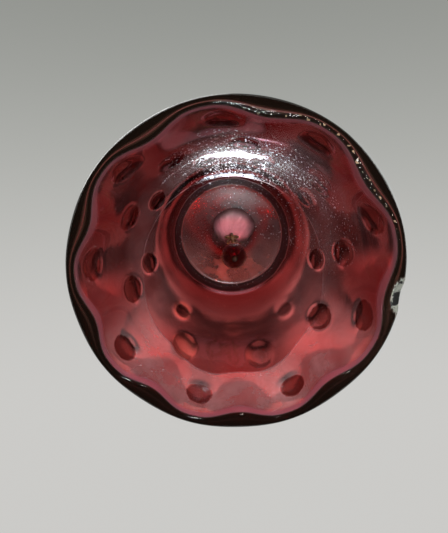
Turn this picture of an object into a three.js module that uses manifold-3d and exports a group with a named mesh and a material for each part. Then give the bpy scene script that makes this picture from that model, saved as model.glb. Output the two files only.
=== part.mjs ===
// A hand bell of blown glass, standing mouth down: a cranberry shell with a lobed inner lip,
// a handle of clear glass on its crown, and a chain with a cranberry bead hanging inside it.
// Millimetres, +Z up. The origin is the centre of the plane that the lip rests on.

import * as THREE from 'three';
import { mergeVertices } from 'three/addons/utils/BufferGeometryUtils.js';
import Module from 'manifold-3d';

const wasm = await Module();
wasm.setup();

// ---- Driving dimensions ----

const GAP = 0.3; // clearance between pieces that touch
const DEGREE = Math.PI / 180;

const MOUTH_RADIUS = 50; // outside of the lip
const CROWN_RADIUS = 24.2; // inside, where the wall meets the ceiling
const CEILING_HEIGHT = 80;
const CROWN_HEIGHT = 88.4;
const SHELL_SEGMENTS = 72;

// The mould leaves lobes round the inside of the lip. They aren't quite evenly spaced.
const LOBES = 9;
const LOBE_DEPTH = 3;
const LOBE_SHARPNESS = 1.4;
const FIRST_LOBE = -76.2 * DEGREE;
const LOBE_DRIFT = 6.5 * DEGREE;
const DRIFT_FROM = -45 * DEGREE;

// A flake is missing from the lip.
const CHIP_DIRECTION = 8.3 * DEGREE;
const CHIP_RADIUS = MOUTH_RADIUS + 0.3; // from the axis to the middle of the flake
const CHIP_HEIGHT = -0.2;
const CHIP_SIZE = { radial: 4, along: 5.6, high: 3.4 }; // half lengths

const SOCKET_RADIUS = 3.5; // in the ceiling, for the eye
const SOCKET_DEPTH = 4.5;
const CEMENT_RADIUS = 9;
const CEMENT_THICKNESS = 1.7;
const CEMENT_SHIFT = { x: 1, y: -4.2 }; // smeared to one side of the socket

const MERESE_RADIUS = 9.6;
const MERESE_THICKNESS = 4.6;
const STEM_LENGTH = 33.6;
const FINIAL_RADIUS = 12.5;
const FINIAL_LENGTH = 24.6;
const HANDLE_SEGMENTS = 40;

const EYE_WIRE = 0.55; // wire radii
const CHAIN_WIRE = 0.45;
const WIRE_SIDES = 8;
const RING_STEPS = 20;
const EYE_RADIUS = 2.6; // ring sizes are to the middle of the wire
const EYE_DROP = 9; // ceiling to the eye's lowest point
const EYE_HOLE = 1;
const LINKS = 4;
const LINK_RADIUS = 1.9;
const LINK_LENGTH = 9;

const BEAD_RADIUS = 4.5;
const BEAD_BORE = 0.85;
const BEAD_SEGMENTS = 28;
const BEAD_DROP = 13.1; // top of the pin's eye to the bead's centre
const CAP_RADIUS = 2.1;
const CAP_THICKNESS = 1;
const PIN_HEAD_RADIUS = 1.1;

// ---- Materials ----

const cranberryGlass = () => new THREE.MeshStandardMaterial({
  color: 0x8c1f2e, roughness: 0.08, metalness: 0, transparent: true, opacity: 0.6,
});
const clearGlass = () => new THREE.MeshStandardMaterial({
  color: 0xe4ece8, roughness: 0.05, metalness: 0, transparent: true, opacity: 0.35,
});
const beadGlass = () => new THREE.MeshStandardMaterial({
  color: 0x6e1a26, roughness: 0.08, metalness: 0, transparent: true, opacity: 0.6,
});
const agedBrass = () => new THREE.MeshStandardMaterial({
  color: 0x86683a, roughness: 0.35, metalness: 1,
});
const paleCement = () => new THREE.MeshStandardMaterial({
  color: 0xd9cfc4, roughness: 0.9, metalness: 0,
});

// ---- Making solids ----

/** A closed solid turned about the Z axis. Each profile point is [radius, height]. */
function turned(profile, segments) {
  const points = profile.map(([radius, height]) => new THREE.Vector2(radius, height));
  return new THREE.LatheGeometry(points, segments).rotateX(Math.PI / 2);
}

/** Steps along a smooth outline through a few [radius, height] corners. */
function smoothOutline(corners, steps) {
  const curve = new THREE.SplineCurve(corners.map(([radius, height]) => new THREE.Vector2(radius, height)));
  return curve.getPoints(steps).map((point) => [point.x, point.y]);
}

function toManifold(geometry) {
  const bare = geometry.clone();
  bare.deleteAttribute('normal');
  bare.deleteAttribute('uv');
  const merged = mergeVertices(bare, 1e-4);
  return new wasm.Manifold(new wasm.Mesh({
    numProp: 3,
    vertProperties: new Float32Array(merged.attributes.position.array),
    triVerts: new Uint32Array(merged.index.array),
  }));
}

function fromManifold(solid) {
  const mesh = solid.getMesh();
  const geometry = new THREE.BufferGeometry();
  geometry.setAttribute('position', new THREE.BufferAttribute(new Float32Array(mesh.vertProperties), 3));
  geometry.setIndex(new THREE.BufferAttribute(new Uint32Array(mesh.triVerts), 1));
  geometry.computeVertexNormals();
  return geometry;
}

function joined(...geometries) {
  return fromManifold(geometries.map(toManifold).reduce((sum, solid) => sum.add(solid)));
}

function cutBy(geometry, tool) {
  return fromManifold(toManifold(geometry).subtract(toManifold(tool)));
}

/** A wire ring standing in the XZ plane, drawn out along Z by the given length. */
function wireRing(radius, wire, drawnOut = 0) {
  const ring = new THREE.TorusGeometry(radius, wire, WIRE_SIDES, RING_STEPS);
  ring.rotateZ(Math.PI / RING_STEPS); // keeps vertices off the line where the halves part
  const position = ring.attributes.position;
  for (let i = 0; i < position.count; i += 1) {
    const y = position.getY(i);
    position.setY(i, y + Math.sign(y) * drawnOut / 2);
  }
  return ring.rotateX(Math.PI / 2);
}

/** A straight wire along Z between two heights. */
function straightWire(wire, low, high) {
  const rod = new THREE.CylinderGeometry(wire, wire, high - low, 12);
  return rod.rotateX(Math.PI / 2).translate(0, 0, (low + high) / 2);
}

function piece(name, geometry, material) {
  const mesh = new THREE.Mesh(geometry, material);
  mesh.name = name;
  return mesh;
}

// ---- The glass shell ----

/** How far the inner lip leans in at an azimuth: 1 on a lobe's crest, 0 between lobes. */
function lobeWave(azimuth) {
  const drift = LOBE_DRIFT * Math.sin(azimuth - DRIFT_FROM);
  const turn = LOBES * (azimuth - FIRST_LOBE - drift);
  return ((1 + Math.cos(turn)) / 2) ** LOBE_SHARPNESS;
}

/** The shell's section, from the middle of the ceiling down, round the lip and up to the crown. */
function shellSection() {
  const lobed = ([radius, height], share) => ({ radius, height, share });
  const ceiling = [
    [0, CEILING_HEIGHT + SOCKET_DEPTH],
    [SOCKET_RADIUS, CEILING_HEIGHT + SOCKET_DEPTH],
    [SOCKET_RADIUS, CEILING_HEIGHT],
    [CROWN_RADIUS - 3, CEILING_HEIGHT],
    [CROWN_RADIUS - 1, CEILING_HEIGHT - 0.7],
  ];
  const insideWall = smoothOutline([
    [CROWN_RADIUS, CEILING_HEIGHT - 3],
    [31.8, 62],
    [37.4, 40],
    [41.3, 22],
    [45.2, 8],
    [46.9, 1.4],
  ], 9);
  const outsideWall = smoothOutline([
    [MOUTH_RADIUS, 2.4],
    [48.9, 8],
    [44.6, 22],
    [40.3, 40],
    [34.8, 62],
    [29.8, 76],
    [23, 84],
    [12, CROWN_HEIGHT],
  ], 14);
  const lobeShare = (height) => 0.1 + 0.9 * Math.exp(-((height / 20) ** 1.5));
  return [
    ...ceiling.map((point) => lobed(point, 0)),
    ...insideWall.map((point) => lobed(point, point[1] < CEILING_HEIGHT / 1.5 ? lobeShare(point[1]) : 0)),
    lobed([47.3, 0.3], 1),
    lobed([47.7, 0], 1),
    lobed([49.2, 0], 0.4),
    lobed([49.85, 0.8], 0.15),
    ...outsideWall.map((point) => lobed(point, 0)),
    lobed([0, CROWN_HEIGHT], 0),
  ];
}

function bellShell() {
  const section = shellSection();
  const shell = turned(section.map((point) => [point.radius, point.height]), SHELL_SEGMENTS);
  const position = shell.attributes.position;
  for (let i = 0; i < position.count; i += 1) {
    const { radius, share } = section[i % section.length];
    if (share > 0) {
      const azimuth = Math.atan2(position.getY(i), position.getX(i));
      const inward = 1 - share * LOBE_DEPTH * lobeWave(azimuth) / radius;
      position.setXY(i, position.getX(i) * inward, position.getY(i) * inward);
    }
  }
  const flake = new THREE.IcosahedronGeometry(1, 2);
  flake.scale(CHIP_SIZE.radial, CHIP_SIZE.along, CHIP_SIZE.high);
  flake.translate(CHIP_RADIUS, 0, CHIP_HEIGHT).rotateZ(CHIP_DIRECTION);
  return cutBy(shell, flake);
}

// ---- The handle, three gathers of clear glass ----

const MERESE_BOTTOM = CROWN_HEIGHT + GAP;
const STEM_BOTTOM = MERESE_BOTTOM + MERESE_THICKNESS + GAP;
const FINIAL_BOTTOM = STEM_BOTTOM + STEM_LENGTH + GAP;

function handleMerese() {
  const edge = MERESE_THICKNESS / 2;
  const rim = [];
  for (let step = 0; step <= 6; step += 1) {
    const angle = (step / 6 - 0.5) * Math.PI;
    rim.push([MERESE_RADIUS - edge + edge * Math.cos(angle), edge + edge * Math.sin(angle)]);
  }
  return turned([[0, 0], ...rim, [0, MERESE_THICKNESS]], HANDLE_SEGMENTS);
}

function handleStem() {
  const outline = smoothOutline([
    [6.6, 0],
    [5.6, 5],
    [8.4, 15],
    [7.4, 21],
    [5, 28.6],
    [5.6, STEM_LENGTH],
  ], 14);
  return turned([[0, 0], ...outline, [0, STEM_LENGTH]], HANDLE_SEGMENTS);
}

function handleFinial() {
  const outline = smoothOutline([
    [5.6, 0],
    [10.2, 4.6],
    [FINIAL_RADIUS, 11.6],
    [10.6, 18.6],
    [5.6, 23.2],
    [2, FINIAL_LENGTH - 0.1],
  ], 14);
  return turned([[0, 0], ...outline, [0, FINIAL_LENGTH]], HANDLE_SEGMENTS);
}

// ---- The clapper's fixing ----

/** A plug that fills the socket, with a dab of cement spread under the ceiling. */
function eyeCement() {
  const top = CEILING_HEIGHT + SOCKET_DEPTH - GAP;
  const under = CEILING_HEIGHT - GAP;
  const bottom = under - CEMENT_THICKNESS;
  const cement = turned([
    [0, top - 1],
    [EYE_HOLE, top - 1],
    [EYE_HOLE, bottom],
    [4, bottom + 0.1],
    [7, bottom + 0.6],
    [CEMENT_RADIUS, under - 0.4],
    [CEMENT_RADIUS - 0.4, under],
    [SOCKET_RADIUS - GAP, under],
    [SOCKET_RADIUS - GAP, top],
    [0, top],
  ], HANDLE_SEGMENTS);
  const position = cement.attributes.position;
  for (let i = 0; i < position.count; i += 1) {
    const x = position.getX(i);
    const y = position.getY(i);
    const spread = THREE.MathUtils.smoothstep(Math.hypot(x, y), SOCKET_RADIUS, CEMENT_RADIUS);
    position.setXY(i, x + CEMENT_SHIFT.x * spread, y + CEMENT_SHIFT.y * spread);
  }
  return cement;
}

const EYE_BOTTOM = CEILING_HEIGHT - EYE_DROP;

function crownEye() {
  const ringHeight = EYE_BOTTOM + EYE_RADIUS;
  const shankTop = CEILING_HEIGHT + SOCKET_DEPTH - 2 * GAP - 1.2;
  const ring = wireRing(EYE_RADIUS, EYE_WIRE).translate(0, 0, ringHeight);
  return joined(ring, straightWire(EYE_WIRE, ringHeight + EYE_RADIUS, shankTop));
}

// ---- The chain and the clapper ----

const LINK_STEP = LINK_LENGTH - 2 * CHAIN_WIRE - GAP; // from one link's top to the next one's
const FIRST_LINK_TOP = EYE_BOTTOM + EYE_WIRE + CHAIN_WIRE + GAP;
const PIN_TOP = FIRST_LINK_TOP - LINKS * LINK_STEP;
const BEAD_HEIGHT = PIN_TOP - BEAD_DROP;

/** Link 0 hangs across the eye, and each further link is a quarter turn from the one above. */
function chainLink(index) {
  const link = wireRing(LINK_RADIUS, CHAIN_WIRE, LINK_LENGTH - 2 * LINK_RADIUS);
  link.rotateZ((index % 2 === 0 ? 1 : 0) * Math.PI / 2);
  return link.translate(0, 0, FIRST_LINK_TOP - index * LINK_STEP - LINK_LENGTH / 2);
}

function clapperPin() {
  const ringHeight = PIN_TOP - LINK_RADIUS;
  const ring = wireRing(LINK_RADIUS, CHAIN_WIRE).rotateZ(Math.PI / 2).translate(0, 0, ringHeight);
  const headHeight = BEAD_HEIGHT - BEAD_RADIUS - GAP - PIN_HEAD_RADIUS * 0.6;
  const head = new THREE.SphereGeometry(PIN_HEAD_RADIUS, 14, 9);
  head.rotateX(Math.PI / 2).scale(1, 1, 0.6).translate(0, 0, headHeight);
  return joined(ring, straightWire(CHAIN_WIRE, headHeight, ringHeight - LINK_RADIUS), head);
}

/** A ball with a bore from top to bottom. */
function clapperBead() {
  const openAngle = Math.asin(BEAD_BORE / BEAD_RADIUS);
  const ball = [];
  for (let step = 0; step <= 14; step += 1) {
    const angle = openAngle + (Math.PI - 2 * openAngle) * step / 14;
    ball.push([BEAD_RADIUS * Math.sin(angle), -BEAD_RADIUS * Math.cos(angle)]);
  }
  return turned([...ball, ball[0]], BEAD_SEGMENTS).translate(0, 0, BEAD_HEIGHT);
}

/** A small dished washer between the bead and the pin's eye. */
function clapperCap() {
  const low = BEAD_HEIGHT + BEAD_RADIUS + GAP;
  const bore = CHAIN_WIRE + GAP;
  return turned([
    [bore, 0],
    [CAP_RADIUS - 0.3, -0.2],
    [CAP_RADIUS, 0],
    [CAP_RADIUS - 0.5, 0.6],
    [bore + 0.2, CAP_THICKNESS],
    [bore, CAP_THICKNESS],
    [bore, 0],
  ], BEAD_SEGMENTS).translate(0, 0, low);
}

// ---- The whole bell ----

const shell = piece('bell_shell', bellShell(), cranberryGlass());

const handle = new THREE.Group();
const merese = piece('handle_merese', handleMerese(), clearGlass());
const stem = piece('handle_stem', handleStem(), clearGlass());
const finial = piece('handle_finial', handleFinial(), clearGlass());
merese.position.z = MERESE_BOTTOM;
stem.position.z = STEM_BOTTOM;
finial.position.z = FINIAL_BOTTOM;
handle.add(merese, stem, finial);

const fixing = new THREE.Group();
fixing.add(
  piece('eye_cement', eyeCement(), paleCement()),
  piece('crown_eye', crownEye(), agedBrass()),
);

const clapper = new THREE.Group();
for (let index = 0; index < LINKS; index += 1) {
  clapper.add(piece(`chain_link_${index + 1}`, chainLink(index), agedBrass()));
}
clapper.add(
  piece('clapper_pin', clapperPin(), agedBrass()),
  piece('clapper_cap', clapperCap(), agedBrass()),
  piece('clapper_bead', clapperBead(), beadGlass()),
);

const bell = new THREE.Group();
bell.add(shell, handle, fixing, clapper);

export default bell;
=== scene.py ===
"""A cranberry glass hand bell, seen into its mouth. Blender 4.5, metres, in the CAD model's frame."""
import math
from types import SimpleNamespace

import bmesh
import bpy
import numpy as np
from mathutils import Matrix, Vector, noise

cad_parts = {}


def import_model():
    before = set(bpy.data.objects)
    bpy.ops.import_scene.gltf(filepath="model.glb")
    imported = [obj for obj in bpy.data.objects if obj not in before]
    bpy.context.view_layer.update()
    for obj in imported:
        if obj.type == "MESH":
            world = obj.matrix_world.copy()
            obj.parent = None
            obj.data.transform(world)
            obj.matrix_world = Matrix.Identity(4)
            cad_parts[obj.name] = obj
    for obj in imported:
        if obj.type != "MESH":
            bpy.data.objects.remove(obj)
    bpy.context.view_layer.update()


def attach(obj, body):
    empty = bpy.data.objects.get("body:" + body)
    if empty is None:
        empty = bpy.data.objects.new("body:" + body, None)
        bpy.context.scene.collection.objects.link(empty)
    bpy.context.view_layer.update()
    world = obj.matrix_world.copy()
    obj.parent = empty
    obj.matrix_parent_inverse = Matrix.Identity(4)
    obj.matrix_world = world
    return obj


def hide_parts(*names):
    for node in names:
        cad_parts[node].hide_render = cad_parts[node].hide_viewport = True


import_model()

MM = 0.001
TAU = 2 * math.pi

# ---- Sizes, in millimetres, as the CAD model has them ----

MOUTH_RADIUS = 50.0
CEILING = 80.0
CROWN_RADIUS = 24.2
CROWN_HEIGHT = 88.4
SOCKET_RADIUS, SOCKET_DEPTH = 3.5, 4.5
GAP = 0.3
CEMENT_RADIUS = 9.0
CEMENT_SHIFT = (1.0, -4.2)  # smeared to one side of the socket

LOBES = 9
LOBE_DEPTH = 3.0
LOBE_SHARPNESS = 1.4
FIRST_LOBE = math.radians(-76.2)
LOBE_DRIFT = math.radians(6.5)
DRIFT_FROM = math.radians(-45)

# The thumbprints: rows of oval hollows in the inside wall, each row turned a little from the last.
THUMB_ROWS = (
    # height, first azimuth, half width, half height, depth, share of the depth missing on the low side
    (10.5, math.radians(-57), 6.2, 6.2, 0.8, 0.5),
    (32.0, math.radians(-42), 5.6, 9.0, 0.85, 0.5),
    (53.0, math.radians(-31), 4.8, 7.6, 0.68, 0.9),
)
THUMB_STRAY = math.radians(2.5)

CHIP_DIRECTION = math.radians(8.3)
CHIP_RADIUS, CHIP_HEIGHT = MOUTH_RADIUS + 0.3, -0.2
CHIP_HALF = (4.0, 5.6, 3.4)

# Where the old film ends: a slanting plane, at TIDE_HEIGHT on the axis and falling towards +Y.
TIDE_HEIGHT = 53.5
TIDE_SLOPE = 0.78
RING_RADIUS = 24.4  # the dark line round the ceiling, painted shade

# ---- Mesh helpers ----


def smooth_outline(corners, steps):
    """Points on a Catmull-Rom curve through [radius, height] corners."""
    corners = np.array(corners, float)
    last = len(corners) - 1
    made = []
    for place in np.linspace(0, last, steps + 1):
        i = min(int(place), last - 1)
        t = place - i
        p0, p1, p2, p3 = (corners[min(max(k, 0), last)] for k in (i - 1, i, i + 1, i + 2))
        v0, v1 = (p2 - p0) / 2, (p3 - p1) / 2
        made.append(
            (2 * p1 - 2 * p2 + v0 + v1) * t**3 + (-3 * p1 + 3 * p2 - 2 * v0 - v1) * t**2 + v0 * t + p1
        )
    return [tuple(p) for p in made]


def arc(centre, radius, start, end, steps):
    """Points on an arc in the [radius, height] plane, angles in degrees."""
    return [
        (centre[0] + radius * math.cos(a), centre[1] + radius * math.sin(a))
        for a in np.radians(np.linspace(start, end, steps + 1))
    ]


def add_object(name, points_mm, faces, smooth_below=None, layers=None):
    mesh = bpy.data.meshes.new(name)
    mesh.from_pydata((np.asarray(points_mm, float) * MM).tolist(), [], faces)
    for layer_name, values in (layers or {}).items():
        layer = mesh.attributes.new(layer_name, "FLOAT_COLOR", "POINT")
        layer.data.foreach_set("color", np.asarray(values, np.float32).ravel())
    mesh.validate()
    for polygon in mesh.polygons:
        polygon.use_smooth = True
    if smooth_below is not None:
        mesh.set_sharp_from_angle(angle=math.radians(smooth_below))
    made = bpy.data.objects.new(name, mesh)
    bpy.context.scene.collection.objects.link(made)
    return made


def turned_mesh(profile, segments, shift=None):
    """Points and faces of a solid turned about Z, from a profile that starts and ends on the axis, or closes.

    shift(radius, height, azimuth, index) gives the new radius of a point.
    """
    on_axis = profile[0][0] == 0
    ring = profile[1:-1] if on_axis else profile[:-1] if profile[0] == profile[-1] else profile
    count = len(ring)
    azimuths = np.arange(segments) * TAU / segments
    points = []
    for index, (radius, height) in enumerate(ring):
        for azimuth in azimuths:
            r = shift(radius, height, azimuth, index) if shift else radius
            points.append((r * math.cos(azimuth), r * math.sin(azimuth), height))
    faces = []
    for i in range(count - (1 if on_axis else 0)):
        upper = (i + 1) % count
        for j in range(segments):
            k = (j + 1) % segments
            faces.append((i * segments + j, i * segments + k, upper * segments + k, upper * segments + j))
    if on_axis:
        first, last = len(points), len(points) + 1
        points += [(0, 0, profile[0][1]), (0, 0, profile[-1][1])]
        top = (count - 1) * segments
        for j in range(segments):
            k = (j + 1) % segments
            faces.append((first, k, j))
            faces.append((last, top + j, top + k))
    return points, faces


def swept(path, radii, sides, closed):
    """Points and faces of a wire along a path in the XZ plane: a ring, or open with pointed ends."""
    path = np.array(path, float)
    radii = np.broadcast_to(np.asarray(radii, float), len(path))
    count = len(path)
    points = []
    for i in range(count):
        before = path[i - 1] if closed or i > 0 else path[0]
        after = path[(i + 1) % count] if closed or i < count - 1 else path[-1]
        ahead = (after - before) / np.linalg.norm(after - before)
        across = np.array([0.0, 1.0, 0.0])
        outward = np.cross(ahead, across)
        for side in range(sides):
            a = TAU * side / sides
            points.append(path[i] + radii[i] * (math.cos(a) * outward + math.sin(a) * across))
    faces = []
    for i in range(count if closed else count - 1):
        nxt = (i + 1) % count
        for side in range(sides):
            other = (side + 1) % sides
            faces.append((i * sides + side, i * sides + other, nxt * sides + other, nxt * sides + side))
    if not closed:
        faces.append(tuple(range(sides - 1, -1, -1)))
        faces.append(tuple(range((count - 1) * sides, count * sides)))
    return points, faces


def moved(part, dx=0.0, dy=0.0, dz=0.0, quarter_turn=False):
    points, faces = part
    turn = (lambda p: (-p[1], p[0], p[2])) if quarter_turn else (lambda p: p)
    return [tuple(np.add(turn(p), (dx, dy, dz))) for p in points], faces


# ---- Node helpers ----


class Nodes:
    """Short calls for building one node tree."""

    def __init__(self, tree):
        self.tree = tree
        tree.nodes.clear()

    def add(self, kind, inputs=None, **settings):
        node = self.tree.nodes.new(kind)
        for key, value in settings.items():
            setattr(node, key, value)
        for key, value in (inputs or {}).items():
            self.feed(node.inputs[key], value)
        return node

    def feed(self, socket, value):
        if isinstance(value, bpy.types.NodeSocket):
            self.tree.links.new(value, socket)
        else:
            socket.default_value = value

    def math(self, operation, a, b=0.0, c=0.0):
        return self.add("ShaderNodeMath", {0: a, 1: b, 2: c}, operation=operation).outputs[0]

    def product(self, *values):
        made = values[0]
        for value in values[1:]:
            made = self.math("MULTIPLY", made, value)
        return made

    def most(self, *values):
        made = values[0]
        for value in values[1:]:
            made = self.math("MAXIMUM", made, value)
        return made

    def rest(self, mask, share=1.0):
        """What is left of 1 when `share` of the mask is taken from it."""
        return self.math("MULTIPLY_ADD", mask, -share, 1.0)

    def ramp(self, value, low, high, to_low=0.0, to_high=1.0):
        return self.add(
            "ShaderNodeMapRange",
            {"Value": value, "From Min": low, "From Max": high, "To Min": to_low, "To Max": to_high},
            interpolation_type="SMOOTHSTEP",
        ).outputs["Result"]

    def blend(self, share, a, b):
        """Between two plain values."""
        return self.add("ShaderNodeMix", {0: share, 2: a, 3: b}).outputs[0]

    def mix(self, share, a, b):
        """Between two colours, each a socket or three shares."""
        a, b = ((*colour, 1.0) if isinstance(colour, tuple) else colour for colour in (a, b))
        return self.add("ShaderNodeMix", {0: share, 6: a, 7: b}, data_type="RGBA").outputs[2]


class MaterialNodes(Nodes):
    """Short calls for building one material."""

    def __init__(self, name):
        self.material = bpy.data.materials.new(name)
        self.material.use_nodes = True
        super().__init__(self.material.node_tree)
        self.output = self.add("ShaderNodeOutputMaterial")
        self.coordinates = self.add("ShaderNodeTexCoord").outputs["Object"]

    def noise(self, scale, detail=3.0, roughness=0.55, distortion=0.0, vector=None):
        return self.add(
            "ShaderNodeTexNoise",
            {"Vector": vector or self.coordinates, "Scale": scale, "Detail": detail,
             "Roughness": roughness, "Distortion": distortion},
        ).outputs["Fac"]

    def bump(self, height, strength, distance, after=None):
        inputs = {"Height": height, "Strength": strength, "Distance": distance}
        if after is not None:
            inputs["Normal"] = after
        return self.add("ShaderNodeBump", inputs).outputs["Normal"]

    def finish(self, surface, volume=None):
        self.tree.links.new(surface, self.output.inputs["Surface"])
        if volume is not None:
            self.tree.links.new(volume, self.output.inputs["Volume"])
        return self.material


# ---- Materials ----

GLASS_IOR = 1.5


class ShellNodes(MaterialNodes):
    """Nodes for the shell's glass, with masks by height, direction and zone.

    The mesh carries two layers. "zones" holds the inside, the lip's pink and red lines of painted light and,
    as 1 less the alpha, the chip. "details" holds the thumbprints and the nicked part of the lip.
    """

    def __init__(self, name):
        super().__init__(name)
        zones = self.add("ShaderNodeAttribute", attribute_name="zones")
        shares = self.add("ShaderNodeSeparateColor", {0: zones.outputs["Color"]}).outputs
        self.inside, self.pink_line, self.red_line = shares[0], shares[1], shares[2]
        self.chipped = self.rest(zones.outputs["Alpha"])
        details = self.add("ShaderNodeAttribute", attribute_name="details").outputs["Color"]
        self.hollow, nicked = self.add("ShaderNodeSeparateColor", {0: details}).outputs[:2]
        self.place = self.add("ShaderNodeSeparateXYZ", {0: self.coordinates}).outputs
        self.level = self.stretched((1.0, 1.0, 0.0))
        self.radius = self.add("ShaderNodeVectorMath", {0: self.level}, operation="LENGTH").outputs["Value"]
        self.heading = self.add("ShaderNodeVectorMath", {0: self.level}, operation="NORMALIZE").outputs[0]
        self.nicked = self.product(nicked, self.towards(-52, 50, 30))
        self.low_side = self.towards(90, 85, 35)
        self.on_ceiling = self.climb(78, 79)

    def stretched(self, factors):
        return self.add(
            "ShaderNodeVectorMath", {0: self.coordinates, 1: factors}, operation="MULTIPLY"
        ).outputs[0]

    def towards(self, azimuth, wide, narrow):
        """1 within `narrow` degrees of an azimuth, 0 beyond `wide` degrees."""
        a = math.radians(azimuth)
        direction = (math.cos(a), math.sin(a), 0.0)
        cosine = self.add(
            "ShaderNodeVectorMath", {0: self.heading, 1: direction}, operation="DOT_PRODUCT"
        ).outputs["Value"]
        return self.ramp(cosine, math.cos(math.radians(wide)), math.cos(math.radians(narrow)))

    def span(self, value, low, high, to_low=0.0, to_high=1.0):
        """A ramp whose limits are in millimetres."""
        return self.ramp(value, low * MM, high * MM, to_low, to_high)

    def climb(self, low, high, to_low=0.0, to_high=1.0):
        """A ramp between two heights in millimetres."""
        return self.span(self.place["Z"], low, high, to_low, to_high)

    def band(self, value, middle, core, reach):
        """1 within `core` mm of the middle, 0 beyond `reach` mm."""
        off = self.math("ABSOLUTE", self.math("SUBTRACT", value, middle * MM))
        return self.span(off, core, reach, 1.0, 0.0)

    def height_band(self, middle, core, reach):
        return self.band(self.place["Z"], middle, core, reach)


def tide_marks(n):
    """How far a point is above the tide mark's plane, the film above it and the mark itself."""
    rise = n.math("MULTIPLY_ADD", n.place["Y"], TIDE_SLOPE, n.place["Z"])
    rise = n.math("MULTIPLY_ADD", n.noise(70.0, 2.0), 1.6 * MM, rise)
    above = n.math("SUBTRACT", rise, TIDE_HEIGHT * MM)
    film = n.product(n.span(above, -0.2, 0.2), n.inside)
    broken = n.ramp(n.noise(45.0, 2.0), 0.35, 0.6, 0.3, 1.0)
    edge = n.product(n.band(above, 0, 0.15, 0.55), broken, n.inside)
    return above, film, edge


def ceiling_marks(n):
    """A dark line in the angle of the ceiling, painted shade; a painted shadow round the cement; and a haze
    over the whole ceiling.
    """
    ring_radius = n.math("MULTIPLY_ADD", n.noise(160.0, 3.0), 0.8 * MM, n.radius)
    ring = n.product(n.band(ring_radius, RING_RADIUS, 1.1, 1.8), n.climb(70, 73), n.inside)
    from_cement = n.add(
        "ShaderNodeVectorMath", {0: n.level, 1: (0.6 * MM, -1.6 * MM, 0.0)}, operation="DISTANCE"
    ).outputs["Value"]
    from_cement = n.math("MULTIPLY_ADD", n.noise(200.0, 3.0), 2 * MM, from_cement)
    cement_shadow = n.product(n.span(from_cement, 9.5, 14, 1.0, 0.0), n.on_ceiling, n.inside)
    haze = n.product(n.climb(78.5, 79.7), n.ramp(n.noise(140.0, 3.0), 0.3, 0.7, 0.6, 1.0), n.inside)
    return ring, cement_shadow, haze


def fine_dust(n, film):
    """Dust over the whole inside wall, thicker on the low side as painted light, thinner on the film, near
    the ceiling and under the bloom.
    """
    patchy = n.ramp(n.noise(90.0, 4.0, 0.6), 0.3, 0.65, 0.5, 1.0)
    amount = n.math("MULTIPLY_ADD", n.low_side, 0.2, 0.17)
    under_bloom = n.product(n.towards(-85, 80, 30), n.climb(18, 34))
    return n.product(
        patchy, n.inside, amount, n.climb(60, 77, 1.0, 0.12), n.rest(film, 0.6), n.rest(under_bloom, 0.7)
    )


def bloom_and_painted_highlight(n, above):
    """A speckled white bloom on one side of the wall, in bands below the tide mark, placed and shaped as a
    painted highlight, and the soot among it.
    """
    main_band = n.product(n.height_band(50, 1, 7), n.towards(-91, 32, 4))
    tail = n.product(n.height_band(46.5, 0.3, 2.4), n.towards(-122, 28, 6), 0.45)
    upper_band = n.product(n.span(above, -8, -1), n.towards(-88, 50, 8), 0.85)
    low_band = n.product(n.height_band(20, 1, 5), n.towards(-98, 22, 5), 0.34)
    veil = n.product(n.climb(26, 44), n.towards(-80, 54, 16), 0.36)
    stray = n.product(n.climb(14, 40), n.towards(-48, 40, 10), 0.3)
    weight = n.most(main_band, tail, upper_band, low_band, veil, stray)
    weight = n.product(weight, n.span(above, -0.4, 0, 1.0, 0.0), n.inside)

    grain = n.noise(1300.0, 5.0, 0.75)
    clumps = n.noise(300.0, 4.0, 0.65, 0.6)
    uneven = n.math("MULTIPLY_ADD", grain, 3.2, -1.6)
    uneven = n.math("ADD", uneven, n.math("MULTIPLY_ADD", clumps, 1.6, -0.8))
    bloom_and_highlight = n.product(n.ramp(n.math("ADD", weight, uneven), 0.55, 0.95), n.ramp(weight, 0.0, 0.15))
    soot = n.product(n.ramp(n.math("SUBTRACT", weight, uneven), 0.5, 0.85), n.ramp(weight, 0.15, 0.4))
    specks = n.product(
        n.ramp(n.noise(1150.0, 1.0, 0.4), 0.68, 0.71),
        n.most(n.towards(-60, 100, 40), n.product(n.on_ceiling, 0.5)),
        n.climb(12, 30),
        n.inside,
    )
    return weight, n.most(bloom_and_highlight, n.product(specks, 0.8)), soot


def thumbprint_shade_and_glow(n, bloom_weight):
    """Painted shade in the hollows, less on the low side and under the bloom, and a painted orange glow round
    them on one side.
    """
    ragged = n.math("MULTIPLY_ADD", n.noise(420.0, 4.0, 0.7), 0.5, n.math("SUBTRACT", n.hollow, 0.25))
    high_row = n.product(n.climb(42, 45), n.towards(90, 75, 55))
    low_row = n.product(n.climb(18, 21, 1.0, 0.0), n.low_side)
    start = n.math("MULTIPLY_ADD", n.most(high_row, low_row), 0.33, 0.2)
    hollow_shade = n.product(
        n.ramp(n.math("SUBTRACT", ragged, start), 0.0, 0.22),
        n.rest(n.product(n.towards(84, 46, 22), n.rest(low_row)), 0.6),
        n.ramp(bloom_weight, 0.05, 0.3, 1.0, 0.0),
    )
    painted_amber_glow = n.product(n.ramp(n.hollow, 0.0, 0.6), n.towards(120, 46, 16), n.climb(20, 26))
    return hollow_shade, painted_amber_glow


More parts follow.
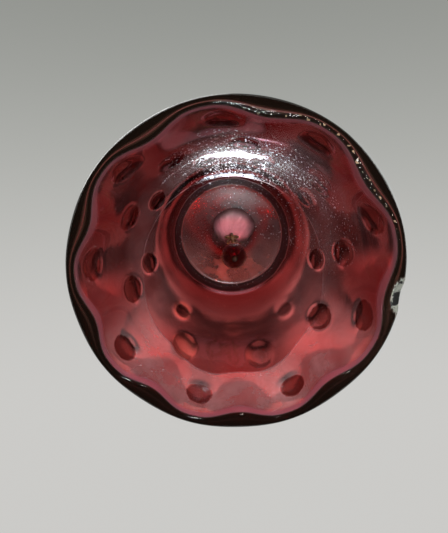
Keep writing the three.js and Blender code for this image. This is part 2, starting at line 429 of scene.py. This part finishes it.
def shell_marks(n):
    """Every mark on the shell, as masks from 0 to 1; some are residue and wear, some painted light and shade.
    """
    above, film, edge = tide_marks(n)
    ring, cement_shadow, haze = ceiling_marks(n)
    bloom_weight, bloom_and_highlight, soot = bloom_and_painted_highlight(n, above)
    hollow_shade, painted_amber_glow = thumbprint_shade_and_glow(n, bloom_weight)
    streaks = n.noise(1.0, 4.0, 0.6, 0.8, n.stretched((62.0, 62.0, 24.0)))
    broken = n.ramp(n.noise(60.0, 2.0), 0.3, 0.6, 0.5, 1.0)
    return SimpleNamespace(
        film=film, edge=edge, ring=ring, cement_shadow=cement_shadow, haze=haze, bloom_and_highlight=bloom_and_highlight, soot=soot,
        hollow_shade=hollow_shade, painted_amber_glow=painted_amber_glow,
        dusting=fine_dust(n, film),
        crown_low=n.span(n.place["Y"], -8, 15),
        rim_grime=n.product(n.climb(4, 12, 1.0, 0.0), n.rest(n.inside)),
        # Painted shade on the upper wall, below the ceiling.
        shoulder_shade=n.product(n.climb(58, 66), n.climb(70, 74.5, 1.0, 0.0), n.inside),
        side_shade=n.product(n.climb(30, 48, 1.0, 0.0), n.rest(n.low_side), n.inside),
        # A painted pink-white highlight streaked along the wall.
        streak_highlight=n.product(n.height_band(24, 0.3, 2.2), n.towards(-75, 13, 2), broken, n.inside),
        # A painted glint on the wall below the ring.
        shoulder_glint=n.product(n.height_band(74.3, 0.3, 1.5), n.towards(88, 40, 5), n.inside),
        # Painted orange-white glints on the nicked part of the lip.
        lip_glints=n.product(n.ramp(n.noise(760.0, 1.0, 0.4), 0.64, 0.67), n.nicked),
        streaks=n.product(n.ramp(streaks, 0.38, 0.66), n.inside),
    )


def shell_tint(n, marks):
    """The marks' colours, laid one over another."""
    # The lip's pink and red lines are painted light, lighter on the low side.
    pink = n.mix(n.low_side, (0.6, 0.25, 0.29), (1.0, 0.36, 0.46))
    red = n.mix(n.low_side, (0.34, 0.06, 0.05), (0.8, 0.19, 0.26))
    film = n.mix(n.height_band(53, 2, 10), (0.12, 0.06, 0.06), (0.32, 0.16, 0.15))
    # The ceiling's haze is dust; its lighter colour and thicker cover on the low side are painted light.
    haze = n.mix(marks.crown_low, (0.12, 0.06, 0.055), (1.0, 0.3, 0.24))
    # The chip's face is painted in near-white and near-black patches: painted glints and shade.
    chip_glints_and_shade = n.ramp(n.noise(330.0, 3.0, 0.6, 0.7), 0.42, 0.52)
    flake = n.mix(chip_glints_and_shade, (0.03, 0.03, 0.027), (0.88, 0.9, 0.78))
    tint = n.mix(marks.streaks, (1.0, 0.97, 0.97), (0.66, 0.56, 0.56))
    for mask, colour in (
        (marks.side_shade, (0.22, 0.17, 0.17)),
        (marks.shoulder_shade, (0.28, 0.22, 0.22)),
        # Painted shade: the film's colour darkens the wall above the tide mark on the low side.
        (n.product(marks.film, n.towards(92, 62, 15)), film),
        (n.product(marks.edge, 0.8), (0.95, 0.55, 0.58)),
        # A painted orange glow round the thumbprints.
        (marks.painted_amber_glow, (1.0, 0.38, 0.28)),
        # Painted shade in the thumbprints.
        (marks.hollow_shade, (0.05, 0.014, 0.012)),
        (marks.rim_grime, (0.36, 0.19, 0.12)),
        (n.pink_line, pink),
        (n.red_line, red),
        (marks.haze, haze),
        # A painted shadow round the cement.
        (marks.cement_shadow, (0.03, 0.012, 0.012)),
        # A dark line painted as shade in the angle of the ceiling.
        (marks.ring, (0.008, 0.003, 0.003)),
        (marks.soot, (0.06, 0.045, 0.05)),
        # Painted highlights, in pink-white.
        (n.most(marks.streak_highlight, marks.shoulder_glint), (1.0, 0.55, 0.65)),
        # The bloom's bluish white, placed as a painted highlight.
        (marks.bloom_and_highlight, (0.84, 0.88, 0.97)),
        (n.chipped, flake),
        # Painted glints on the lip.
        (marks.lip_glints, (1.0, 0.68, 0.42)),
    ):
        tint = n.mix(mask, tint, colour)
    return tint


SMOOTH_COVER = 0.45  # a mark that hides less of the glass than this leaves its surface smooth


def shell_cover(n, marks):
    """How much of the glass the marks hide."""
    # Thicker on the low side, as painted light.
    haze_share = n.math("MULTIPLY_ADD", marks.crown_low, 0.42, 0.02)
    shares = (
        (marks.lip_glints, 1.0),
        (marks.bloom_and_highlight, 0.95),
        (n.chipped, 0.75),
        (n.red_line, 0.6),
        (marks.edge, 0.6),
        (n.pink_line, 0.5),
        (marks.shoulder_glint, 0.5),
        (marks.soot, 0.46),
        (marks.streak_highlight, 0.44),
        (marks.painted_amber_glow, 0.16),
        (marks.rim_grime, 0.045),
        (marks.dusting, n.rest(marks.hollow_shade)),
        (marks.haze, n.product(n.rest(marks.cement_shadow), haze_share)),
    )
    return n.most(*[n.product(mask, share) for mask, share in shares])


def cranberry_glass():
    """Deep pink-red glass, faintly wavy, with pink and red lines of painted light on the lip, and residue
    inside, some of it painted light and shade.

    The film lies on the crown's side of a slanting tide mark, left while the bell lay tilted; on the low side
    its colour is painted shade.
    """
    n = ShellNodes("cranberry_glass")
    marks = shell_marks(n)
    cover = shell_cover(n, marks)
    roughness = n.most(
        n.ramp(n.noise(120.0, 4.0), 0.35, 0.75, 0.01, 0.05),
        n.product(marks.haze, 0.24),
        n.product(marks.ring, 0.85),
        n.ramp(cover, SMOOTH_COVER, 0.6, 0.0, 0.85),
    )
    normal = n.bump(n.noise(55.0, 2.0, 0.4), 0.25, 0.6 * MM)
    normal = n.bump(n.noise(900.0, 2.0, 0.6), 0.06, 0.2 * MM, normal)
    normal = n.bump(n.noise(620.0, 2.0, 0.6), n.nicked, 0.6 * MM, normal)
    surface = n.add("ShaderNodeBsdfPrincipled", {
        "Base Color": shell_tint(n, marks),
        "Roughness": roughness,
        "IOR": GLASS_IOR,
        "Transmission Weight": n.rest(cover),
        "Normal": normal,
    })
    volume = n.add("ShaderNodeVolumeAbsorption", {"Color": (0.8, 0.06, 0.05, 1.0), "Density": 590.0})
    return n.finish(surface.outputs[0], volume.outputs[0])


def plain_glass(name, wave_scale, colour, density):
    """Solid glass with faint waves, its colour lying in its depth."""
    n = MaterialNodes(name)
    normal = n.bump(n.noise(wave_scale, 2.0, 0.4), 0.15, 0.5 * MM)
    surface = n.add("ShaderNodeBsdfPrincipled", {
        "Base Color": n.mix(n.noise(wave_scale * 2, 3.0), (0.97, 1.0, 0.98), (1.0, 0.98, 0.97)),
        "Roughness": n.ramp(n.noise(160.0, 4.0), 0.4, 0.8, 0.005, 0.05),
        "IOR": GLASS_IOR,
        "Transmission Weight": 1.0,
        "Normal": normal,
    })
    volume = n.add("ShaderNodeVolumeAbsorption", {"Color": (*colour, 1.0), "Density": density})
    return n.finish(surface.outputs[0], volume.outputs[0])


def aged_brass():
    """Tarnished brass, painted near black at its lowest, below the bead, as shade."""
    n = MaterialNodes("aged_brass")
    tarnish = n.ramp(n.noise(700.0, 4.0, 0.6), 0.4, 0.7)
    height = n.add("ShaderNodeSeparateXYZ", {0: n.coordinates}).outputs["Z"]
    metal = n.mix(tarnish, (0.34, 0.23, 0.1), (0.1, 0.065, 0.035))
    surface = n.add("ShaderNodeBsdfPrincipled", {
        "Base Color": n.mix(n.ramp(height, 23.5 * MM, 26 * MM), (0.006, 0.0035, 0.0025), metal),
        "Metallic": 1.0,
        "Roughness": n.ramp(tarnish, 0.0, 1.0, 0.5, 0.75),
        "Normal": n.bump(n.noise(4000.0, 2.0), 0.2, 0.05 * MM),
    })
    return n.finish(surface.outputs[0])


def pale_cement():
    """Pink-white cement, greyer on its upper side, darkening to brown towards the edge of the dab as a
    painted shadow.
    """
    n = MaterialNodes("pale_cement")
    patches = n.noise(260.0, 5.0, 0.6)
    grain = n.noise(2500.0, 3.0, 0.7)
    across = n.add("ShaderNodeVectorMath", {
        0: n.coordinates, 1: (-CEMENT_SHIFT[0] * MM, -CEMENT_SHIFT[1] * MM, 0.0),
    }, operation="ADD").outputs[0]
    across = n.add("ShaderNodeVectorMath", {
        0: across, 1: (1 / (CEMENT_RADIUS * MM), 1.2 / (CEMENT_RADIUS * MM), 0.0),
    }, operation="MULTIPLY").outputs[0]
    out = n.add("ShaderNodeVectorMath", {0: across}, operation="LENGTH").outputs["Value"]
    out = n.math("MULTIPLY_ADD", patches, 0.3, out)
    upper = n.ramp(n.add("ShaderNodeSeparateXYZ", {0: across}).outputs["Y"], -0.9, -0.2, 1.0, 0.0)
    middle = n.mix(upper, (0.8, 0.25, 0.29), (0.5, 0.3, 0.31))
    surface = n.add("ShaderNodeBsdfPrincipled", {
        "Base Color": n.mix(n.ramp(out, 0.7, 1.2), middle, (0.09, 0.026, 0.026)),
        "Roughness": n.ramp(grain, 0.3, 0.7, 0.7, 0.95),
        "Normal": n.bump(grain, 0.4, 0.1 * MM),
    })
    return n.finish(surface.outputs[0])


CRANBERRY = cranberry_glass()
CLEAR = plain_glass("clear_glass", 60.0, (0.75, 0.9, 0.82), 12.0)
BEAD_GLASS = plain_glass("bead_glass", 150.0, (0.8, 0.1, 0.1), 800.0)
BRASS = aged_brass()
CEMENT = pale_cement()


def dress(made, body, slot, material, *nodes):
    """Gives a piece its material and its body, and hides the CAD nodes that it replaces. The slot is not
    used.
    """
    made.data.materials.clear()
    made.data.materials.append(material)
    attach(made, body)
    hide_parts(*nodes)


# ---- The shell ----


def lobe_wave(azimuth):
    drift = LOBE_DRIFT * math.sin(azimuth - DRIFT_FROM)
    return ((1 + math.cos(LOBES * (azimuth - FIRST_LOBE - drift))) / 2) ** LOBE_SHARPNESS


def thumbprint(azimuth, height, radius):
    """How deep a thumbprint is at a point of the inside wall, and the depth at which its painted shade and
    glow are full.
    """
    found = (0.0, 1.0)
    for row, (middle, first, half_width, half_height, deepest, missing) in enumerate(THUMB_ROWS):
        up = (height - middle) / half_height
        if abs(up) > 1:
            continue
        for k in range(LOBES):
            centre = first + k * TAU / LOBES + THUMB_STRAY * math.sin(5 * k + 2 * row)
            along = math.remainder(azimuth - centre, TAU) * radius / half_width
            away = up * up + along * along
            if away < 1:
                pressed = deepest * (1 - missing * max(0.0, math.sin(centre)) ** 2)
                depth = pressed * (1 - away) ** 1.5 * (1 + 1.5 * away)
                found = max(found, (depth, max(pressed, 0.5 * deepest)))
    return found


def plateau(value, start, full, full_end, end):
    """0 outside start to end, 1 from full to full_end, smooth between."""
    rising = min(max((value - start) / (full - start), 0), 1)
    falling = min(max((end - value) / (end - full_end), 0), 1)
    share = min(rising, falling)
    return share * share * (3 - 2 * share)


def lobe_share(height):
    return 0.1 + 0.9 * math.exp(-((height / 20) ** 1.5))


# The lip, from the wall's foot round to the outside: radius, height, how far it follows the lobes.
LIP = (
    (47.05, 1.0, 1), (47.18, 0.7, 1), (47.34, 0.42, 1), (47.55, 0.18, 1), (47.8, 0.04, 0.97),
    (48.0, 0, 0.9), (48.2, 0, 0.8), (48.4, 0, 0.7), (48.6, 0, 0.6), (48.8, 0, 0.52),
    (49.1, 0.03, 0.42), (49.4, 0.16, 0.3), (49.65, 0.38, 0.2), (49.85, 0.8, 0.1), (49.96, 1.5, 0.04),
)
SHELL_SEGMENTS = 288
FILLET = 2.6  # radius, between the ceiling and the wall
LIP_ZONE_HEIGHT = 12  # nothing above this is on the lip


def shell_profile():
    """The shell's section, and where in it, less its first point, the wall, the lip and the outside start."""
    ceiling = [
        (0, CEILING + SOCKET_DEPTH),
        (SOCKET_RADIUS - 0.3, CEILING + SOCKET_DEPTH),
        (SOCKET_RADIUS, CEILING + SOCKET_DEPTH - 0.3),
        (SOCKET_RADIUS, CEILING + 0.3),
        (SOCKET_RADIUS + 0.3, CEILING),
        *[(r, CEILING) for r in np.linspace(5, CROWN_RADIUS - 3, 8)],
        *arc((CROWN_RADIUS - FILLET, CEILING - FILLET), FILLET, 80, 10, 7),
    ]
    inside = smooth_outline([
        (CROWN_RADIUS, CEILING - 3), (31.8, 62), (37.4, 40), (41.3, 22), (45.2, 8), (46.9, 1.4),
    ], 84)
    outside = smooth_outline([
        (MOUTH_RADIUS, 2.4), (48.9, 8), (44.6, 22), (40.3, 40), (34.8, 62), (29.8, 76), (23, 84),
        (12, CROWN_HEIGHT),
    ], 70)
    crown = [(r, CROWN_HEIGHT + 0.02) for r in (9, 6, 3, 0)]
    first_inside = len(ceiling) - 1
    first_lip = first_inside + len(inside)
    first_outside = first_lip + len(LIP)
    profile = [*ceiling, *inside, *[(r, z) for r, z, _ in LIP], *outside, *crown]
    return profile, first_inside, first_lip, first_outside


def paint_lip(zones, details, azimuth, radius):
    """The pink and red lines of painted light and the nicks of one point of the lip."""
    low_side = plateau(math.sin(azimuth), -0.3, 0.6, 2, 3)
    wide = (1.1 - 0.7 * low_side) * lobe_wave(azimuth)
    zones[1] = plateau(radius, 46.4 - wide, 46.85 - 0.5 * wide, 47.15, 47.45)
    zones[2] = plateau(radius, 48.1, 48.35, 48.45, 48.7) * (1 - 0.85 * low_side)
    details[1] = plateau(radius, 47.3, 47.5, 48.15, 48.4)


def shell():
    profile, first_inside, first_lip, first_outside = shell_profile()

    def shift(radius, height, azimuth, index):
        if index < first_inside or index >= first_outside:
            return radius
        wave = LOBE_DEPTH * lobe_wave(azimuth)
        if index < first_lip:
            share = lobe_share(height) if height < CEILING / 1.5 else 0.1 * max(0, (76 - height) / 23)
            return radius - share * wave + thumbprint(azimuth, height, radius)[0]
        return radius - wave * LIP[index - first_lip][2]

    points, faces = turned_mesh(profile, SHELL_SEGMENTS, shift)
    zones = np.zeros((len(points), 4))
    zones[:, 3] = 1
    details = np.zeros((len(points), 4))
    for index, (radius, height) in enumerate(profile[1:-1]):
        for step in range(SHELL_SEGMENTS):
            azimuth = TAU * step / SHELL_SEGMENTS
            point = index * SHELL_SEGMENTS + step
            zones[point, 0] = 1.0 if index < first_lip else 0.0
            if first_inside <= index < first_lip:
                depth, full = thumbprint(azimuth, height, radius)
                details[point, 0] = depth / full
            if first_inside <= index < first_outside and height <= LIP_ZONE_HEIGHT:
                paint_lip(zones[point], details[point], azimuth, radius)
    zones[-2, 0] = 1.0  # the middle of the socket
    made = add_object("shell_glass", points, faces, layers={"zones": zones, "details": details})
    cut_chip(made)
    dress(made, "bell", "cranberry_glass", CRANBERRY, "bell_shell")


def cut_chip(made):
    """Takes a rippled, shell-shaped flake out of the lip."""
    flake = bmesh.new()
    bmesh.ops.create_icosphere(flake, subdivisions=5, radius=1.0)
    cos_a, sin_a = math.cos(CHIP_DIRECTION), math.sin(CHIP_DIRECTION)
    for vertex in flake.verts:
        p = vertex.co.copy()
        struck = (p - Vector((1.0, -0.35, -0.3))).length
        ripple = 1 + 0.025 * math.sin(struck * 15) + 0.05 * noise.noise(p * 2.2)
        x, y, z = (p[i] * CHIP_HALF[i] * ripple for i in range(3))
        x += CHIP_RADIUS
        vertex.co = Vector((x * cos_a - y * sin_a, x * sin_a + y * cos_a, z + CHIP_HEIGHT)) * MM
    mesh = bpy.data.meshes.new("flake")
    flake.to_mesh(mesh)
    flake.free()
    tool = bpy.data.objects.new("flake", mesh)
    bpy.context.scene.collection.objects.link(tool)
    cut = made.modifiers.new("chip", "BOOLEAN")
    cut.operation = "DIFFERENCE"
    cut.solver = "EXACT"
    cut.object = tool
    evaluated = made.evaluated_get(bpy.context.evaluated_depsgraph_get())
    result = bpy.data.meshes.new_from_object(evaluated)
    made.modifiers.clear()
    old, made.data = made.data, result
    bpy.data.meshes.remove(old)
    bpy.data.objects.remove(tool)
    bpy.data.meshes.remove(mesh)
    for polygon in made.data.polygons:
        polygon.use_smooth = True
    made.data.set_sharp_from_angle(angle=math.radians(38))
    zones = made.data.attributes["zones"]
    for vertex, datum in zip(made.data.vertices, zones.data):
        x, y, z = vertex.co / MM
        local = (
            (x * cos_a + y * sin_a - CHIP_RADIUS) / CHIP_HALF[0],
            (y * cos_a - x * sin_a) / CHIP_HALF[1],
            (z - CHIP_HEIGHT) / CHIP_HALF[2],
        )
        if math.hypot(*local) < 1.1:
            datum.color = (0, 0, 0, 0)


shell()

# ---- The handle ----

MERESE_BOTTOM = CROWN_HEIGHT + GAP
MERESE_RADIUS, MERESE_THICK = 9.6, 4.6
STEM_BOTTOM = MERESE_BOTTOM + MERESE_THICK + GAP
STEM_LENGTH = 33.6
FINIAL_BOTTOM = STEM_BOTTOM + STEM_LENGTH + GAP
FINIAL_RADIUS, FINIAL_LENGTH = 12.5, 24.6


def handle():
    edge = MERESE_THICK / 2
    merese = [
        (0, 0), (3.5, 0), *arc((MERESE_RADIUS - edge, edge), edge, -90, 90, 16),
        (3.5, MERESE_THICK), (0, MERESE_THICK),
    ]
    stem = [(0, 0), (3, 0), *smooth_outline([
        (6.6, 0), (5.6, 5), (8.4, 15), (7.4, 21), (5, 28.6), (5.6, STEM_LENGTH),
    ], 60), (3, STEM_LENGTH), (0, STEM_LENGTH)]
    finial = [(0, 0), (3, 0), *smooth_outline([
        (5.6, 0), (10.2, 4.6), (FINIAL_RADIUS, 11.6), (10.6, 18.6), (5.6, 23.2), (2, FINIAL_LENGTH - 0.1),
    ], 60), (0, FINIAL_LENGTH)]
    for name, node, profile, bottom in (
        ("merese_glass", "handle_merese", merese, MERESE_BOTTOM),
        ("stem_glass", "handle_stem", stem, STEM_BOTTOM),
        ("finial_glass", "handle_finial", finial, FINIAL_BOTTOM),
    ):
        part = moved(turned_mesh(profile, 128), dz=bottom)
        dress(add_object(name, *part), "bell", "clear_glass", CLEAR, node)


handle()

# ---- The clapper and its fixing ----

CEMENT_UNDER = CEILING - GAP
CEMENT_THICK = 1.7
EYE_BOTTOM = CEILING - 9.0
EYE_RING, EYE_WIRE = 2.6, 0.55
SHANK_TOP = CEILING + SOCKET_DEPTH - 2 * GAP - 1.2
LINKS = 4
LINK_LENGTH, LINK_RING, CHAIN_WIRE = 9.0, 1.9, 0.45
LINK_STEP = LINK_LENGTH - 2 * CHAIN_WIRE - GAP
FIRST_LINK_TOP = EYE_BOTTOM + EYE_WIRE + CHAIN_WIRE + GAP
PIN_TOP = FIRST_LINK_TOP - LINKS * LINK_STEP
BEAD_RADIUS, BEAD_BORE = 4.5, 0.85
BEAD_HEIGHT = PIN_TOP - 13.1
CAP_BOTTOM = BEAD_HEIGHT + BEAD_RADIUS + GAP
WIRE_SIDES = 20


def eye_cement():
    """A plug in the socket, and a thumbed dab under the ceiling, thin and uneven at its edge."""
    top = CEILING + SOCKET_DEPTH - GAP
    bottom = CEMENT_UNDER - CEMENT_THICK
    bore = 1.0
    under = smooth_outline([
        (bore + 0.2, bottom), (4, bottom + 0.1), (7, bottom + 0.55),
        (CEMENT_RADIUS - 0.5, CEMENT_UNDER - 0.7), (CEMENT_RADIUS, CEMENT_UNDER - 0.25),
    ], 36)
    plug = SOCKET_RADIUS - GAP
    profile = [
        (0, top - 1), (bore, top - 1), (bore, bottom + 0.2), *under,
        *[(r, CEMENT_UNDER) for r in (CEMENT_RADIUS - 0.4, 7, 5.5, plug)],
        (plug, top - 0.2), (plug - 0.2, top), (0, top),
    ]
    points, faces = turned_mesh(profile, 144)
    placed = []
    for x, y, z in points:
        out = math.hypot(x, y)
        spread = min(max((out - SOCKET_RADIUS) / (CEMENT_RADIUS - SOCKET_RADIUS), 0), 1)
        spread = spread * spread * (3 - 2 * spread)
        if z < CEMENT_UNDER - 0.1 and out > bore + 0.3:
            lumps = noise.noise(Vector((x, y, 0)) * 0.45) + 0.4 * noise.noise(Vector((x, y, 3)) * 1.3)
            z += 0.28 * lumps * min(1.0, CEMENT_UNDER - z)
        ragged = 1 - 0.06 * spread * (1 + noise.noise(Vector((x, y, 9)) * 0.35))
        wide, deep = 1 + 0.1 * spread, 1 - 0.05 * spread
        placed.append((
            x * ragged * wide + CEMENT_SHIFT[0] * spread, y * ragged * deep + CEMENT_SHIFT[1] * spread, z,
        ))
    dress(add_object("cement", placed, faces, 50), "bell", "cement", CEMENT, "eye_cement")


def bent_eye(ring, wire, bend, centre, shank_end, head=()):
    """A wire bent once round into a ring, its shank going up.

    head gives the (height, radius) of points along the shank's end.
    """
    lift = math.sqrt((ring + bend) ** 2 - bend**2)
    touch = math.degrees(math.asin(bend / (ring + bend)))
    down = [(0, z) for z in np.linspace(shank_end, centre + lift, 14)[:-1]]
    curve = [
        (bend - bend * math.cos(a), centre + lift - bend * math.sin(a))
        for a in np.radians(np.linspace(0, 90 - touch, 9)[:-1])
    ]
    around = [
        (ring * math.sin(a), centre + ring * math.cos(a))
        for a in np.radians(np.linspace(touch, 334, 72))
    ]
    path = [*[(0, z) for z, _ in head], *down, *curve, *around]
    radii = [*[r for _, r in head], *[wire] * (len(path) - len(head))]
    radii[-3:] = [wire * 0.98, wire * 0.9, wire * 0.6]
    if not head:
        radii[:2] = [wire * 0.7, wire]
    return swept([(x, 0, z) for x, z in path], radii, WIRE_SIDES, closed=False)


def crown_eye():
    part = bent_eye(EYE_RING, EYE_WIRE, 1.0, EYE_BOTTOM + EYE_RING, SHANK_TOP)
    dress(add_object("eye", *part, 50), "bell", "aged_brass", BRASS, "crown_eye")


def chain_link(index):
    """An oval link, its wire a little uneven, with a soldered joint on one side."""
    straight = LINK_LENGTH / 2 - LINK_RING
    path = []
    for side in (1, -1):
        path += [(side * LINK_RING, 0, z) for z in side * np.linspace(-straight, straight, 9)[:-1]]
        path += [
            (side * LINK_RING * math.cos(a), 0, side * (straight + LINK_RING * math.sin(a)))
            for a in np.linspace(0, math.pi, 25)[:-1]
        ]
    joint = (4, 36)[index % 2]
    radii = [
        CHAIN_WIRE * (0.97 + 0.03 * math.sin(i * 0.7 + index) - 0.08 * math.exp(-((i - joint) / 0.8) ** 2))
        for i in range(len(path))
    ]
    middle = FIRST_LINK_TOP - index * LINK_STEP - LINK_LENGTH / 2
    part = moved(swept(path, radii, WIRE_SIDES, closed=True), dz=middle, quarter_turn=index % 2 == 0)
    name = f"link_{index + 1}"
    dress(add_object(f"{name}_wire", *part), name, "aged_brass", BRASS, f"chain_{name}")


def clapper():
    head_height = BEAD_HEIGHT - BEAD_RADIUS - GAP - 0.66
    head = [
        (head_height - 0.62, 0.35), (head_height - 0.5, 0.72), (head_height - 0.25, 1.0), (head_height, 1.1),
        (head_height + 0.25, 0.98), (head_height + 0.48, 0.72), (head_height + 0.66, 0.45),
    ]
    # Drawn shank up, then turned upside down.
    ring_height = PIN_TOP - LINK_RING
    points, faces = bent_eye(
        LINK_RING, CHAIN_WIRE, 0.8, -ring_height, -(head_height + 0.9), [(-z, r) for z, r in head]
    )
    pin = moved(([(x, -y, -z) for x, y, z in points], faces), quarter_turn=True)
    dress(add_object("pin", *pin, 50), "clapper", "aged_brass", BRASS, "clapper_pin")

    bore = CHAIN_WIRE + GAP
    cap = [
        (bore, 0.08), (bore + 0.1, -0.02), (1.3, -0.14), (1.75, -0.2), (1.98, -0.14), (2.1, 0),
        (2.06, 0.16), (1.86, 0.36), (1.6, 0.58), (1.35, 0.76), (1.1, 0.92), (0.95, 0.99),
        (bore + 0.06, 1.0), (bore, 0.94), (bore, 0.08),
    ]
    part = moved(turned_mesh(cap, 96), dz=CAP_BOTTOM)
    dress(add_object("cap", *part), "clapper", "aged_brass", BRASS, "clapper_cap")

    open_angle = math.asin(BEAD_BORE / BEAD_RADIUS)
    ball = [
        (BEAD_RADIUS * math.sin(a), -BEAD_RADIUS * math.cos(a))
        for a in np.linspace(open_angle, math.pi - open_angle, 49)
    ]
    bore_wall = [(BEAD_BORE, z) for z in np.linspace(ball[-1][1], ball[0][1], 9)[1:-1]]

    def shift(radius, height, azimuth, index):
        if index >= len(ball):
            return radius
        spot = Vector((math.cos(azimuth), math.sin(azimuth), height / 3))
        return radius * (0.992 + 0.008 * noise.noise(spot * 1.1))

    part = moved(turned_mesh([*ball, *bore_wall, ball[0]], 96, shift), dz=BEAD_HEIGHT)
    dress(add_object("bead", *part, 50), "clapper", "bead_glass", BEAD_GLASS, "clapper_bead")


eye_cement()
crown_eye()
for number in range(LINKS):
    chain_link(number)
clapper()

# ---- The world, the floor, the lights and the camera ----


def floor():
    """A pale floor, seen only from above, so that a view from below looks up past it into the bell."""
    n = MaterialNodes("floor")
    pale = n.add("ShaderNodeBsdfPrincipled", {
        "Base Color": n.mix(n.noise(30.0, 3.0), (0.78, 0.77, 0.75), (0.84, 0.83, 0.81)),
        "Roughness": 0.8,
    })
    clear = n.add("ShaderNodeBsdfTransparent")
    under = n.add("ShaderNodeNewGeometry").outputs["Backfacing"]
    passed = n.math("GREATER_THAN", n.add("ShaderNodeLightPath").outputs["Transparent Depth"], 0.5)
    surface = n.add("ShaderNodeMixShader", {
        0: n.math("MAXIMUM", under, passed), 1: pale.outputs[0], 2: clear.outputs[0],
    })
    half = 9000.0
    corners = [(x, y, -GAP) for x, y in ((-half, -half), (half, -half), (half, half), (-half, half))]
    made = add_object("floor", corners, [(0, 1, 2, 3)])
    made.data.materials.append(n.finish(surface.outputs[0]))


# The bell's own soft shadow on the backdrop, right behind it as seen from under the mouth.
# Directions are given as slopes from straight up.
SHADOW_CENTRE = (0.029, 0.217)
SHADOW_RADIUS = 0.357
SHADOW_SOFTNESS = 0.022
SIDE_LEVEL = 0.6  # brightness near the horizon


def world():
    made = bpy.data.worlds.new("studio")
    bpy.context.scene.world = made
    made.use_nodes = True
    n = Nodes(made.node_tree)
    direction = n.add("ShaderNodeTexCoord").outputs["Generated"]
    axes = n.add("ShaderNodeSeparateXYZ", {0: direction}).outputs
    backdrop = n.ramp(axes["Y"], -0.5, 0.45, 0.26, 0.6)

    height = n.add("ShaderNodeCombineXYZ", {0: axes["Z"], 1: axes["Z"], 2: axes["Z"]}).outputs[0]
    slope = n.add("ShaderNodeVectorMath", {0: direction, 1: height}, operation="DIVIDE").outputs[0]
    slopes = n.add("ShaderNodeSeparateXYZ", {0: slope}).outputs
    off = n.add(
        "ShaderNodeVectorMath", {0: slope, 1: (*SHADOW_CENTRE, 1.0)}, operation="DISTANCE"
    ).outputs["Value"]
    # Dark but for a glow in its middle, and lit again behind the lip on the low side.
    near_lip = n.ramp(off, 0.12, 0.32)
    low_side = n.ramp(slopes["Y"], 0.17, 0.42, 0.0, 1.25)
    low_side = n.product(low_side, n.ramp(slopes["X"], -0.4, -0.1, 0.6, 1.0))
    shaded = n.math("MULTIPLY_ADD", near_lip, low_side, n.ramp(off, 0.06, 0.14, 0.8, 0.085))

    in_shadow = n.ramp(off, SHADOW_RADIUS - SHADOW_SOFTNESS, SHADOW_RADIUS, 1.0, 0.0)
    overhead = n.blend(in_shadow, backdrop, shaded)
    level = n.blend(n.ramp(axes["Z"], 0.3, 0.55), SIDE_LEVEL, overhead)
    level = n.product(level, n.ramp(axes["Z"], -0.2, -0.08, 0.03, 1.0))
    colour = n.mix(n.ramp(axes["Y"], -0.5, 0.45), (0.97, 1.0, 0.93), (1.0, 0.99, 0.96))
    background = n.add("ShaderNodeBackground", {"Color": colour, "Strength": level})
    n.tree.links.new(background.outputs[0], n.add("ShaderNodeOutputWorld").inputs["Surface"])


def area_light(name, place, aim, size, power, colour=(1, 1, 1), spread=180, through_glass=True):
    """A round lamp, in metres and watts; its light leaves within `spread` degrees."""
    data = bpy.data.lights.new(name, "AREA")
    data.shape = "DISK"
    data.size = size
    data.energy = power
    data.color = colour
    data.spread = math.radians(spread)
    made = bpy.data.objects.new(name, data)
    made.location = place
    made.rotation_mode = "QUATERNION"
    made.rotation_quaternion = (Vector(aim) - Vector(place)).to_track_quat("-Z", "Y")
    made.visible_transmission = through_glass
    bpy.context.scene.collection.objects.link(made)


CAMERA_PLACE = Vector((-4.0, -30.3, -137.8))
CAMERA_AIM = Vector((-3.6, -1.95, 0.0))
DOWN_THE_PICTURE = Vector((0, 1, 0))


def camera():
    """Looks up the bell's axis from below its mouth, a little off it."""
    data = bpy.data.cameras.new("camera")
    data.sensor_fit = "AUTO"
    data.sensor_width = 36.0
    data.lens = 32.76
    data.clip_start = 5 * MM
    made = bpy.data.objects.new("camera", data)
    made.location = CAMERA_PLACE * MM
    back = (CAMERA_PLACE - CAMERA_AIM).normalized()
    right = (-DOWN_THE_PICTURE).cross(back).normalized()
    up = back.cross(right)
    made.rotation_mode = "QUATERNION"
    made.rotation_quaternion = Matrix((right, up, back)).transposed().to_quaternion()
    bpy.context.scene.collection.objects.link(made)
    bpy.context.scene.camera = made


FLASH_WHITE = (0.93, 0.97, 1.0)
COOL = (0.93, 0.96, 1.0)
MIDDLE = (0, 0, 0.07)


def lights():
    """A soft key and fill above the floor, and below it the flash and small lights for what it picks out."""
    area_light("key", (-0.6, -0.75, 0.95), MIDDLE, 1.4, 12.0, through_glass=False)
    area_light("fill", (1.1, -0.3, 0.7), MIDDLE, 1.0, 4.0, through_glass=False)
    area_light("flash", (0.012, -0.03, -0.15), (0, 0, 0.03), 0.025, 0.12, FLASH_WHITE)
    # The bloom, its bright middle, the low side of the ceiling, and the cement.
    area_light("beam", (0.06, 0.09, -0.11), (0.003, -0.034, 0.05), 0.02, 0.035, COOL, 15)
    area_light("core", (0.055, 0.095, -0.11), (-0.001, -0.034, 0.051), 0.008, 0.0012, COOL, 3.6)
    area_light("ember", (0.03, -0.025, -0.13), (0.0, 0.0105, 0.08), 0.006, 0.0018, (1.0, 0.3, 0.25), 6)
    area_light("dab", (0.004, -0.035, -0.13), (0.001, -0.004, 0.078), 0.006, 0.0002, (1.0, 0.95, 0.93), 4)


camera()
world()
floor()
lights()

view = bpy.context.scene.view_settings
view.view_transform = "Standard"
view.look = "None"
bpy.context.scene.cycles.use_denoising = True
